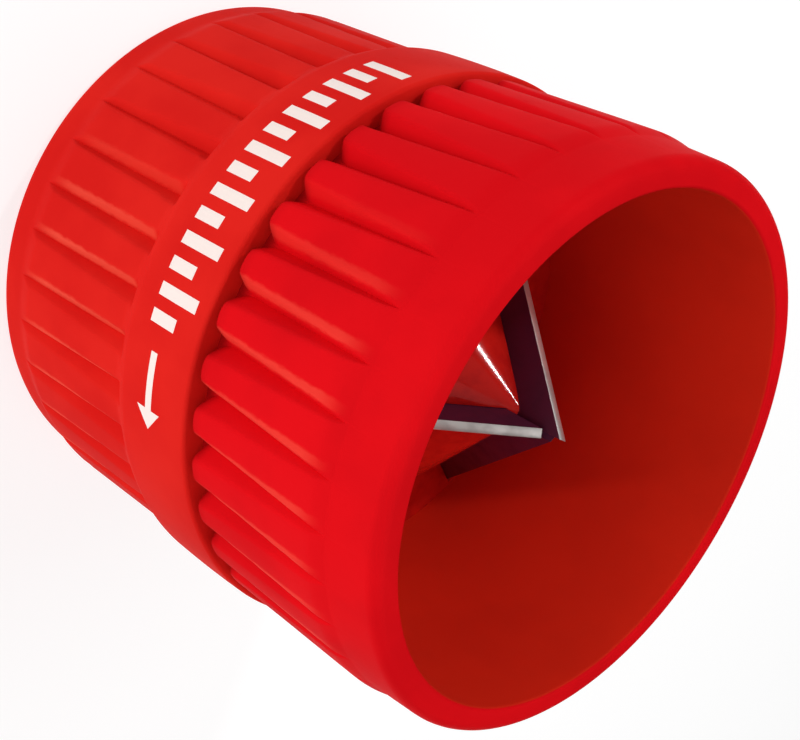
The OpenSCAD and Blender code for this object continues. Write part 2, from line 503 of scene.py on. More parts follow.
class Bench:
    """A material's node tree, with one method that adds any node."""

    def __init__(self, name: str) -> None:
        """Make an empty material with its Principled shader and output."""
        self.material = bpy.data.materials.new(name)
        self.material.use_nodes = True
        self.tree = self.material.node_tree
        self.tree.nodes.clear()
        output = self.tree.nodes.new("ShaderNodeOutputMaterial")
        self.shader = self.tree.nodes.new("ShaderNodeBsdfPrincipled")
        self.tree.links.new(self.shader.outputs[0], output.inputs["Surface"])
        self.place = self.add("ShaderNodeTexCoord", output="Object")

    def add(
        self,
        kind: str,
        settings: dict[str, object] | None = None,
        inputs: dict[str | int, object] | None = None,
        output: str | int = 0,
    ) -> Wire:
        """Add a node.

        Args:
            kind: Node type.
            settings: Properties, set first.
            inputs: Values or wires of its sockets, by name or number.
            output: The output to return.

        Returns:
            The chosen output as a wire.
        """
        node = self.tree.nodes.new(kind)
        for name, value in (settings or {}).items():
            setattr(node, name, value)
        for key, value in (inputs or {}).items():
            self.feed(node.inputs[key], value)
        return Wire(self, node.outputs[output])

    def feed(self, socket: bpy.types.NodeSocket, value: object) -> None:
        """Link a wire to a socket, or set the socket's own value."""
        if isinstance(value, Wire):
            self.tree.links.new(value.socket, socket)
        else:
            socket.default_value = value

    def set(self, **values: object) -> None:
        """Set the shader's sockets, named with underscores for spaces."""
        for name, value in values.items():
            self.feed(self.shader.inputs[name.replace("_", " ")], value)

    def noise(self, scale: float, detail: float, stretch: Sequence[float] = (1, 1, 1)) -> Wire:
        """Noise from 0 to 1 in object space.

        Args:
            scale: Cells per metre.
            detail: Octaves.
            stretch: Scale of each axis.

        Returns:
            The noise's value.
        """
        where: Wire = self.place
        if tuple(stretch) != (1, 1, 1):
            where = self.add("ShaderNodeMapping", inputs={"Vector": self.place, "Scale": stretch})
        inputs = {"Vector": where, "Scale": scale, "Detail": detail}
        return self.add("ShaderNodeTexNoise", inputs=inputs)

    def mix(self, amount: Wire | float, first: object, second: object) -> Wire:
        """Mix two colours.

        Args:
            amount: Share of the second colour.
            first: A colour, or a wire that carries one.
            second: Another.

        Returns:
            The mixed colour.
        """
        inputs = {"Factor": amount, MIX_FIRST: first, MIX_SECOND: second}
        return self.add("ShaderNodeMix", {"data_type": "RGBA"}, inputs, output=MIX_RESULT)

    def bump(self, height: Wire, distance: float) -> None:
        """Raise the surface by height, from 0 to 1, times distance."""
        inputs = {"Strength": 1.0, "Distance": distance, "Height": height}
        self.set(Normal=self.add("ShaderNodeBump", inputs=inputs))

    def axes(self) -> tuple[Wire, Wire, Wire]:
        """Object coordinates as three wires."""
        split = self.add("ShaderNodeSeparateXYZ", inputs={"Vector": self.place}).socket.node
        return tuple(Wire(self, socket) for socket in split.outputs)

    def turn(self) -> Wire:
        """Angle round Z in degrees, from -180 to 180."""
        x, y, _ = self.axes()
        angle = self.add("ShaderNodeMath", {"operation": "ARCTAN2"}, {0: y, 1: x})
        return angle * (180.0 / math.pi)

    def bearing(self) -> Wire:
        """Angle round Z in degrees, from 0 to 360."""
        angle = self.turn()
        return angle + (angle < 0.0) * FULL_TURN


@dataclass(frozen=True)
class PrintedMarks:
    """White marks round the band: a row of bars, and an arrow for the direction of turning."""

    start: float = 126.0
    bars: int = 14
    pitch: float = 4.9
    bar_share: float = 0.5
    base: float = 26.7 * MM
    tall: float = 5.3 * MM
    short: float = 3.4 * MM
    arrow_start: float = 197.0
    arrow_length: float = 15.0
    arrow_z: float = 28.3 * MM
    arrow_line: float = 0.45 * MM
    head_length: float = 4.0
    head_half: float = 1.7 * MM
    head_overlap: float = 0.5

    def mask(self, bench: Bench) -> Wire:
        """Draw the marks.

        Args:
            bench: The material's node tree.

        Returns:
            1 on the ink and 0 on the plastic.
        """
        _, _, z = bench.axes()
        angle = bench.bearing()
        along = (angle - self.start) / self.pitch
        index = along.whole()
        odd = (index / 2.0).fraction() * 2.0
        top = self.base + self.tall - odd * (self.tall - self.short)
        bar = (along.fraction() < self.bar_share) * (index > -0.5) * (index < self.bars - 0.5)
        bar = bar * (z > self.base) * (z < top)
        run = angle - self.arrow_start
        off = (z - self.arrow_z).size()
        neck = self.arrow_length - self.head_length
        line = (run > 0.0) * (run < neck + self.head_overlap) * (off < self.arrow_line)
        taper = (self.arrow_length - run) * (self.head_half / self.head_length)
        head = (run > neck) * (off < taper)
        return bar.most(line).most(head)


@dataclass(frozen=True)
class RibPaintedLight:
    """Painted light on the ribs: a painted highlight makes the wall on one side of each pale, and
    painted shade may sit at its root.

    The painted highlight lies between the heights low and high. Round the barrel it grows from nothing
    at the angle start to its strength at full, and it ends at a whole turn.
    """

    low: float
    high: float
    from_side: float = 0.69
    to_side: float = 0.86
    edge: float = 0.08
    raggedness: float = 0.09
    ragged_scale: float = 2600.0
    ragged_stretch: tuple[float, float, float] = (1, 1, 0.4)
    strength: float = 0.62
    start: float = 150.0
    full: float = 186.0
    low_fade: float = 1 * MM
    high_fade: float = 4 * MM
    shade_start: float = 0.2 * MM
    shade_reach: float = 2.1 * MM
    shade_strength: float = 0.76
    shade_sides: tuple[float, float] = (0.05, 0.42)
    crest_spared: float = 0.75

    def across(self, bench: Bench) -> Wire:
        """Place across a rib, 0 and 1 in the grooves on its sides."""
        return (bench.turn() * (RIB_COUNT / FULL_TURN)).fraction()

    def painted_highlight(self, bench: Bench) -> Wire:
        """Find the painted highlight, on the walls that face on round the barrel, with a ragged edge.

        Args:
            bench: The material's node tree.

        Returns:
            The painted highlight, from 0 to its strength.
        """
        _, _, z = bench.axes()
        noise = bench.noise(self.ragged_scale, 3.0, stretch=self.ragged_stretch)
        place = self.across(bench) + (noise - 0.5) * self.raggedness
        past = place.step(self.to_side, self.to_side + self.edge)
        wall = place.step(self.from_side, self.from_side + self.edge) * (1.0 - past)
        above = z.step(self.high - self.high_fade, self.high)
        ends = z.step(self.low, self.low + self.low_fade) * (1.0 - above)
        return wall * ends * bench.bearing().step(self.start, self.full) * self.strength

    def painted_shade(self, bench: Bench) -> Wire:
        """Find the painted shade, greatest at the foot of the grooves beside the band.

        Args:
            bench: The material's node tree.

        Returns:
            The painted shade, from 0 to its strength.
        """
        _, _, z = bench.axes()
        from_groove = 0.5 - (self.across(bench) - 0.5).size()
        foot = 1.0 - z.step(self.low + self.shade_start, self.low + self.shade_reach)
        return foot * (1.0 - from_groove.step(*self.shade_sides) * self.crest_spared) * self.shade_strength


@dataclass(frozen=True)
class MouldedPlastic:
    """Red moulded plastic of the shells, with the grain of its spark-eroded mould.

    A cloud shifts the colour, and grain, ripple and scuffs raise the surface. The shares say how
    much each adds, in that order: to the roughness cloud, grain and scuff, and to the relief
    grain, ripple and scuff.
    """

    name: str = "red_moulded_plastic"
    colour: tuple[float, float, float, float] = (0.73, 0.0045, 0.0085, 1)
    deep: tuple[float, float, float, float] = (0.66, 0.0040, 0.0078, 1)
    ink: tuple[float, float, float, float] = (0.93, 0.80, 0.75, 1)
    highlight_tint: tuple[float, float, float, float] = (0.86, 0.060, 0.040, 1)
    roughness: float = 0.50
    shade_tint: tuple[float, float, float, float] = (0.16, 0.002, 0.002, 1)
    gloss: float = 0.006
    cloud_scale: float = 90.0
    cloud_edge: tuple[float, float] = (0.35, 0.65)
    grain_scale: float = 5200.0
    ripple_scale: float = 420.0
    ripple_stretch: tuple[float, float, float] = (1, 1, 0.35)
    scuff_scale: float = 1500.0
    scuff_stretch: tuple[float, float, float] = (1, 1, 0.4)
    scuff_edge: tuple[float, float] = (0.62, 0.72)
    rough_shares: tuple[float, float, float] = (0.10, 0.12, 0.08)
    relief_shares: tuple[float, float, float] = (0.25, 0.9, 0.25)
    relief: float = 0.02 * MM
    ink_roughness: float = 0.42
    ink_height: float = 0.6
    painted_light: RibPaintedLight | None = None
    marks: PrintedMarks | None = None

    def build(self) -> bpy.types.Material:
        """Make the material."""
        bench = Bench(self.name)
        cloud = bench.noise(self.cloud_scale, 3.0)
        grain = bench.noise(self.grain_scale, 2.0)
        ripple = bench.noise(self.ripple_scale, 2.0, stretch=self.ripple_stretch)
        scuff = bench.noise(self.scuff_scale, 4.0, stretch=self.scuff_stretch)
        scuff = scuff.step(*self.scuff_edge)
        colour = bench.mix(cloud.step(*self.cloud_edge), self.colour, self.deep)
        clouded, grained, scuffed = self.rough_shares
        rough = self.roughness + (cloud - 0.5) * clouded + (grain - 0.5) * grained + scuff * scuffed
        grained, rippled, scuffed = self.relief_shares
        height = grain * grained + ripple * rippled + scuff * scuffed
        if self.painted_light is not None:
            # Painted highlight: a paler colour on the lit wall of each rib.
            colour = bench.mix(self.painted_light.painted_highlight(bench), colour, self.highlight_tint)
            # Painted shade: a dark colour at the foot of the grooves beside the band.
            if self.painted_light.shade_strength > 0:
                colour = bench.mix(self.painted_light.painted_shade(bench), colour, self.shade_tint)
        if self.marks is not None:
            ink = self.marks.mask(bench)
            colour = bench.mix(ink, colour, self.ink)
            rough = rough * (1.0 - ink) + ink * self.ink_roughness
            height = height + ink * self.ink_height
        bench.set(Base_Color=colour, Roughness=rough, IOR=1.5, Specular_IOR_Level=self.gloss)
        bench.bump(height, self.relief)
        return bench.material


@dataclass(frozen=True)
class PolishedPlastic:
    """Glossy red plastic of the cone and the funnel, with faint flow lines."""

    name: str = "red_polished_plastic"
    colour: tuple[float, float, float, float] = (0.62, 0.012, 0.008, 1)
    flow_colour: tuple[float, float, float, float] = (0.54, 0.009, 0.007, 1)
    roughness: float = 0.12
    gloss: float = 0.22
    speckle: float = 9000.0
    speckle_spread: float = 0.06
    flow_scale: float = 700.0
    flow_edge: tuple[float, float] = (0.4, 0.7)
    relief_shares: tuple[float, float] = (0.5, 0.3)
    relief: float = 0.006 * MM

    def build(self) -> bpy.types.Material:
        """Make the material."""
        bench = Bench(self.name)
        flow = bench.noise(self.flow_scale, 3.0)
        speck = bench.noise(self.speckle, 1.0)
        bench.set(
            Base_Color=bench.mix(flow.step(*self.flow_edge), self.colour, self.flow_colour),
            Roughness=self.roughness + (speck - 0.5) * self.speckle_spread,
            IOR=1.5,
            Specular_IOR_Level=self.gloss,
        )
        flowing, speckled = self.relief_shares
        bench.bump(flow * flowing + speck * speckled, self.relief)
        return bench.material


@dataclass(frozen=True)
class Steel:
    """Steel with fine lines of its drawing or grinding."""

    name: str
    colour: tuple[float, float, float, float]
    stain: tuple[float, float, float, float]
    roughness: float
    metal: float = 1.0
    lines: tuple[float, float, float] = (1, 1, 0.1)
    scale: float = 6000.0
    line_spread: float = 0.16
    patch_scale: float = 420.0
    patch_edge: tuple[float, float] = (0.40, 0.70)
    patch_spread: float = 0.06
    relief: float = 0.004 * MM

    def build(self) -> bpy.types.Material:
        """Make the material."""
        bench = Bench(self.name)
        lines = bench.noise(self.scale, 2.0, stretch=self.lines)
        patch = bench.noise(self.patch_scale, 3.0).step(*self.patch_edge)
        bench.set(
            Base_Color=bench.mix(patch, self.colour, self.stain),
            Metallic=self.metal,
            Roughness=self.roughness + (lines - 0.5) * self.line_spread + patch * self.patch_spread,
        )
        bench.bump(lines, self.relief)
        return bench.material


@dataclass(frozen=True)
class PaleFloor:
    """Matt white floor."""

    name: str = "pale_floor"
    colour: tuple[float, float, float, float] = (0.35, 0.35, 0.35, 1)
    glow: float = 0.745
    roughness: float = 0.9
    gloss: float = 0.1

    def build(self) -> bpy.types.Material:
        """Make the material."""
        bench = Bench(self.name)
        bench.set(Base_Color=self.colour, Roughness=self.roughness, Specular_IOR_Level=self.gloss)
        bench.set(Emission_Color=(1, 1, 1, 1), Emission_Strength=self.glow)
        return bench.material


# ---------------------------------------------------------------------------------------------
# Pieces
# ---------------------------------------------------------------------------------------------


def finish_piece(
    piece: bpy.types.Object,
    node: str,
    materials: Sequence[bpy.types.Material],
) -> None:
    """Dress a finished piece, hide the frame's node that it stands for and attach it to the body.

    Args:
        piece: The object.
        node: The frame's node that it stands for.
        materials: One material, or more where faces differ.
    """
    for material in materials:
        piece.data.materials.append(material)
    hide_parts(node)
    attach(piece, BODY)
    LOG.info("%s: %d faces, stands for %s", piece.name, len(piece.data.polygons), node)


@dataclass
class Ribs:
    """Grip ribs round one shell, parted by grooves whose floors climb from the band to the rim."""

    crest: float
    rim: float
    floor_at_band: float
    floor_at_tip: float
    band_z: float
    tip_z: float
    full_z: float
    half_angle: float
    crown: float
    columns: int = 24
    softness: float = 0.10 * MM
    crowding: float = 0.45
    full_crown: float = 0.15
    bulge: float = 0.0

    def envelope(self, z: np.ndarray | float) -> np.ndarray | float:
        """Radius of the rib crests at a height."""
        rise = ease((z - self.tip_z) / (self.full_z - self.tip_z))
        near_rim = ease((z - self.band_z) / (self.full_z - self.band_z))
        return self.rim + (self.crest - self.rim) * rise + self.bulge * near_rim * rise

    def across(self, angle: np.ndarray) -> np.ndarray:
        """Place across a rib, from -0.5 to 0.5 between the grooves on its sides."""
        turns = np.degrees(angle) * RIB_COUNT / FULL_TURN
        return turns - np.floor(turns) - 0.5

    def crowd(self, angle: np.ndarray) -> np.ndarray:
        """Angle with the columns gathered towards the grooves."""
        place = self.across(angle)
        shift = self.crowding * np.sin(math.tau * place) / math.tau
        return angle + shift * math.tau / RIB_COUNT

    def depth(self, angle: np.ndarray, z: np.ndarray) -> np.ndarray:
        """Depth of the surface below the crests.

        Args:
            angle: Angles round the axis, in radians.
            z: Heights.

        Returns:
            The depths.
        """
        along = (z - self.band_z) / (self.tip_z - self.band_z)
        groove_floor = self.floor_at_band + (self.floor_at_tip - self.floor_at_band) * along
        place = np.abs(self.across(angle))
        from_groove = (0.5 - place) * math.tau * self.crest / RIB_COUNT
        climb = from_groove / math.tan(math.radians(self.half_angle))
        wall = self.envelope(z) - groove_floor - climb
        fade = 1.0 - ease(np.clip(along, 0.0, 1.0) * (1.0 + self.full_crown) - self.full_crown)
        return soft_positive(wall, self.softness) + self.crown * (2.0 * place) ** 2 * fade


@dataclass
class FrontShell:
    """Front half of the barrel: ribs that end in blunt fingers, rim, reaming cup and spigot."""

    length: float
    band_top: float
    cup_radius: float = 24.85 * MM
    spigot_radius: float = 26.65 * MM
    mouth_radius: float = 25.5 * MM
    floor_z: float = 28.6 * MM
    rim_round: float = 1.25 * MM
    mouth_round: float = 0.45 * MM
    seam_radius: float = 26.98 * MM
    seam_width: float = 0.15 * MM
    finger_rise: float = 0.75 * MM
    finger_recess: float = 1.9 * MM
    finger_power: float = 2.3
    recess_reach: float = 7.0 * MM
    wall_margin: float = 0.3 * MM
    foot_margin: float = 0.01 * MM
    groove_overrun: float = 1.2 * MM
    finger_steps: int = 9
    rim_steps: int = 8
    mouth_steps: int = 5
    tip_lead: float = 1 * MM
    bore_lead: float = 3 * MM
    crease: float = 50.0
    finger_stretch: float = 3 * MM
    finger_pitch: float = 0.4 * MM
    rib_pitch: float = 0.6 * MM
    tip_pitch: float = 0.22 * MM
    bore_pitch: float = 4 * MM
    ribs: Ribs = field(init=False)

    def __post_init__(self) -> None:
        """Set the ribs from the barrel's sizes."""
        self.ribs = Ribs(
            crest=28.78 * MM,
            rim=28.32 * MM,
            floor_at_band=27.0 * MM,
            floor_at_tip=28.72 * MM,
            band_z=self.band_top,
            tip_z=self.length - 4.5 * MM,
            full_z=self.length - 7.8 * MM,
            half_angle=39.0,
            bulge=0.17 * MM,
            crown=0.20 * MM,
        )

    def profile(self) -> list[Point]:
        """Outline from the spigot round the outside and the rim to the cup."""
        nose = self.band_top + self.seam_width
        top = nose + self.finger_rise
        outline: list[Point] = [(self.cup_radius, self.floor_z), (self.spigot_radius, self.floor_z)]
        outline += [(self.spigot_radius, self.band_top), (self.seam_radius, self.band_top)]
        outline += [(self.seam_radius, nose)]
        for k in range(1, self.finger_steps):
            a = math.radians(90.0 * k / self.finger_steps)
            height = nose + self.finger_rise * (1.0 - math.cos(a))
            crest = self.ribs.envelope(height)
            outline.append((self.seam_radius + (crest - self.seam_radius) * math.sin(a), height))
        straight = top + self.finger_stretch
        tips = self.ribs.tip_z - self.tip_lead
        outline += column(self.ribs.envelope, top, straight, self.finger_pitch)
        outline += column(self.ribs.envelope, straight, self.ribs.full_z, self.rib_pitch)
        outline += column(self.ribs.envelope, self.ribs.full_z, tips, self.tip_pitch)
        corner = self.length - self.rim_round
        outline += arc((self.ribs.rim - self.rim_round, corner), self.rim_round, 0, 90, self.rim_steps)
        centre = (self.mouth_radius + self.mouth_round, self.length - self.mouth_round)
        outline += arc(centre, self.mouth_round, 90, 180, self.mouth_steps)
        taper = (self.mouth_radius - self.cup_radius) / (self.length - self.floor_z)
        outline += column(
            lambda z: self.cup_radius + taper * (z - self.floor_z),
            self.length - self.bore_lead,
            self.floor_z,
            self.bore_pitch,
        )
        return outline

    def shape(self, r: np.ndarray, a: np.ndarray, z: np.ndarray) -> tuple[np.ndarray, ...]:
        """Press the grooves and round the fingers' ends.

        Args:
            r: Radii of the sector's vertices.
            a: Their angles, in radians.
            z: Their heights.

        Returns:
            The three, moved.
        """
        a = self.ribs.crowd(a)
        nose = self.band_top + self.seam_width
        top = nose + self.finger_rise
        outside = r > self.spigot_radius + self.wall_margin
        outside &= z > self.band_top + self.foot_margin
        outside &= z < self.ribs.tip_z + self.groove_overrun
        # Rounded, so that both sides of the seam between two sectors come out the same.
        place = np.round(np.abs(self.ribs.across(a)) * 2.0, 4)
        recess = 1.0 - (1.0 - place**self.finger_power) ** (1.0 / self.finger_power)
        fade = np.clip((z - self.band_top) / (nose - self.band_top), 0, 1)
        fade = fade * (1.0 - np.clip((z - top) / self.recess_reach, 0, 1))
        crest = self.ribs.envelope(z)
        lift = np.clip((r - self.seam_radius) / (crest - self.seam_radius), 0.0, 1.0)
        lifted = np.where(z < top, lift, 1.0)
        moved_z = z + self.finger_recess * recess * fade
        pressed = self.ribs.envelope(moved_z) - self.ribs.depth(a, moved_z)
        pressed = self.seam_radius + lifted * (pressed - self.seam_radius)
        return np.where(outside, pressed, r), a, np.where(outside, moved_z, z)

    def build(self, material: bpy.types.Material, bore: bpy.types.Material) -> bpy.types.Object:
        """Model and dress the shell.

        Args:
            material: Finish of its outside.
            bore: Finish inside its bore.

        Returns:
            The shell.
        """
        piece = lathe(
            "front_shell_body",
            self.profile(),
            self.ribs.columns,
            copies=RIB_COUNT,
            shape=self.shape,
        )
        shade(piece, self.crease)
        finish_piece(piece, "front_shell", [material, bore])
        paint_bore(piece, self.mouth_radius + 0.1 * MM)
        return piece


@dataclass
class RearShell:
    """Rear half of the barrel: ribs, rim, trimming mouth and the smooth band with its socket."""

    band_radius: float
    band_bottom: float
    band_top: float
    cup_radius: float = 24.85 * MM
    socket_radius: float = 26.7 * MM
    mouth_radius: float = 25.1 * MM
    rim_round: float = 1.3 * MM
    mouth_round: float = 0.45 * MM
    band_round: float = 0.4 * MM
    band_sag: float = 0.07 * MM
    shoulder: float = 2.6 * MM
    groove_end: float = 1.4 * MM
    groove_fade: float = 0.4 * MM
    groove_lead: float = 0.25 * MM
    groove_overrun: float = 1.2 * MM
    wall_margin: float = 0.2 * MM
    stop_margin: float = 0.3 * MM
    band_steps: int = 6
    rim_steps: int = 8
    mouth_steps: int = 5
    tip_lead: float = 1 * MM
    bore_lead: float = 3 * MM
    crease: float = 50.0
    band_pitch: float = 0.9 * MM
    slope_pitch: float = 0.14 * MM
    rib_pitch: float = 0.65 * MM
    tip_pitch: float = 0.22 * MM
    bore_pitch: float = 4 * MM
    ribs: Ribs = field(init=False)

    def __post_init__(self) -> None:
        """Set the ribs from the barrel's sizes."""
        self.ribs = Ribs(
            crest=28.44 * MM,
            rim=27.85 * MM,
            floor_at_band=27.1 * MM,
            floor_at_tip=27.93 * MM,
            band_z=self.band_bottom,
            tip_z=3.3 * MM,
            full_z=6.2 * MM,
            half_angle=43.0,
            crown=0.05 * MM,
            softness=0.07 * MM,
        )

    def outside(self, z: np.ndarray | float) -> np.ndarray | float:
        """Radius of the crests and of the slope up to the band, at a height."""
        slope = ease((z - (self.band_bottom - self.shoulder)) / self.shoulder)
        band = self.band_radius - self.band_sag
        crest = self.ribs.envelope(z)
        return crest + (band - crest) * slope

    def profile(self) -> list[Point]:
        """Outline from the socket round the band, the ribs and the rim to the bore."""
        outline: list[Point] = [(self.cup_radius, self.band_bottom)]
        outline += [(self.socket_radius, self.band_bottom), (self.socket_radius, self.band_top)]
        top = self.band_top - self.band_round
        crowned = self.band_radius - self.band_sag
        corner = (crowned - self.band_round, top)
        outline += arc(corner, self.band_round, 90, 0, self.band_steps)[:-1]
        middle = (self.band_bottom + top) / 2
        half = (top - self.band_bottom) / 2
        outline += column(
            lambda z: self.band_radius - self.band_sag * ((z - middle) / half) ** 2,
            top,
            self.band_bottom,
            self.band_pitch,
        )
        slope_end = self.band_bottom - self.shoulder
        tips = self.ribs.tip_z - self.tip_lead
        outline += column(self.outside, self.band_bottom, slope_end, self.slope_pitch)
        outline += column(self.outside, slope_end, self.ribs.full_z, self.rib_pitch)
        outline += column(self.outside, self.ribs.full_z, tips, self.tip_pitch)
        corner = (self.ribs.rim - self.rim_round, self.rim_round)
        outline += arc(corner, self.rim_round, 0, -90, self.rim_steps)
        centre = (self.mouth_radius + self.mouth_round, self.mouth_round)
        outline += arc(centre, self.mouth_round, -90, -180, self.mouth_steps)
        taper = (self.cup_radius - self.mouth_radius) / self.band_bottom
        outline += column(
            lambda z: self.mouth_radius + taper * z,
            self.bore_lead,
            self.band_bottom,
            self.bore_pitch,
        )
        return outline

    def shape(self, r: np.ndarray, a: np.ndarray, z: np.ndarray) -> tuple[np.ndarray, ...]:
        """Press the grooves, which stop square on the slope up to the band.

        Args:
            r: Radii of the sector's vertices.
            a: Their angles, in radians.
            z: Their heights.

        Returns:
            The three, moved.
        """
        a = self.ribs.crowd(a)
        stop = self.band_bottom - self.groove_end
        outside = (r > self.socket_radius + self.wall_margin) & (z < stop + self.stop_margin)
        outside &= z > self.ribs.tip_z - self.groove_overrun
        keep = 1.0 - ease((z - stop + self.groove_lead) / self.groove_fade)
        slope = self.outside(z) - self.ribs.envelope(z)
        depth = self.ribs.depth(a, z) + slope * self.in_groove(a, z)
        pressed = self.outside(z) - depth * keep
        return np.where(outside, pressed, r), a, z

    def in_groove(self, a: np.ndarray, z: np.ndarray) -> np.ndarray:
        """1 at the groove's bottom, falling to 0 at its edges."""
        deep = self.ribs.envelope(z) - self.ribs.floor_at_band
        return np.clip(self.ribs.depth(a, z) / deep, 0, 1)

    def build(self, material: bpy.types.Material, bore: bpy.types.Material) -> bpy.types.Object:
        """Model and dress the shell.

        Args:
            material: Finish of its outside.
            bore: Finish inside its bore.

        Returns:
            The shell.
        """
        piece = lathe(
            "rear_shell_body",
            self.profile(),
            self.ribs.columns,
            copies=RIB_COUNT,
            shape=self.shape,
        )
        shade(piece, self.crease)
        finish_piece(piece, "rear_shell", [material, bore])
        paint_bore(piece, self.mouth_radius + 0.1 * MM)
        return piece


@dataclass
class BladeSet:
    """Three flat blades whose long edges follow the cone and the funnel."""

    front_apex: float
    rear_apex: float
    shoulder_z: float
    thickness: float
    long_tip: float
    reach: float
    short_tip: float = 1.3 * MM
    foot: float = 22.5 * MM
    edge_break: float = 0.05 * MM
    ground_slope: float = 0.4
    side_slope: float = 0.9
    crease: float = 25.0
    names: tuple[str, str, str] = ("blade_long", "blade_short_1", "blade_short_2")

    @classmethod
    def within(cls, low: Vector, high: Vector, shoulder_z: float) -> "BladeSet":
        """Size the blades by the frame's long blade.

        Args:
            low: Lowest corner of its box. The blade points along +Y.
            high: Highest corner.
            shoulder_z: Height of the shoulder that rests on the flange.

        Returns:
            The blades.
        """
        return cls(
            front_apex=high.z + low.y,
            rear_apex=low.z + cls.foot,
            shoulder_z=shoulder_z,
            thickness=high.x - low.x,
            long_tip=low.y,
            reach=high.y,
        )

    def tip(self, index: int) -> float:
        """Radius of a blade's tip."""
        return self.long_tip if index == 0 else self.short_tip

    def outline(self, tip: float) -> list[Point]:
        """Outline of a blade, whose tip is at the given radius. Its edges fall at 45 degrees."""
        return [
            (tip, self.front_apex - tip),
            (tip, self.rear_apex - tip),
            (self.foot, self.rear_apex - self.foot),
            (self.foot, self.shoulder_z),
            (self.reach, self.shoulder_z),
            (self.reach, self.front_apex - self.reach),
        ]

    def build_one(
        self,
        index: int,
        sides: bpy.types.Material,
        edges: bpy.types.Material,
    ) -> bpy.types.Object:
        """Model one blade: a plate cut to its outline, with its edges broken.

        Args:
            index: Which blade.
            sides: Material of the flat sides and the ends; its dark purple-red is painted shade and a
                painted reflection of the red cup.
            edges: Material of the ground faces.

        Returns:
            The blade.
        """
        outline = self.outline(self.tip(index))
        piece = plate(f"{self.names[index]}_ground", outline, self.thickness)
        break_edges(piece, self.edge_break)
        turn_about_z(piece, BLADE_ANGLES[index])
        shade(piece, self.crease)
        finish_piece(piece, self.names[index], [sides, edges])
        turn = math.radians(BLADE_ANGLES[index])
        across = Vector((-math.sin(turn), math.cos(turn), 0))
        # Faces that don't slope, the ends among them, take the side material with its painted shade
        # and painted reflection; the sloped ground faces take the edge steel.
        for face in piece.data.polygons:
            sloped = abs(face.normal.z) > self.ground_slope
            ground = sloped and abs(face.normal.dot(across)) < self.side_slope
            face.material_index = 1 if ground else 0
        return piece


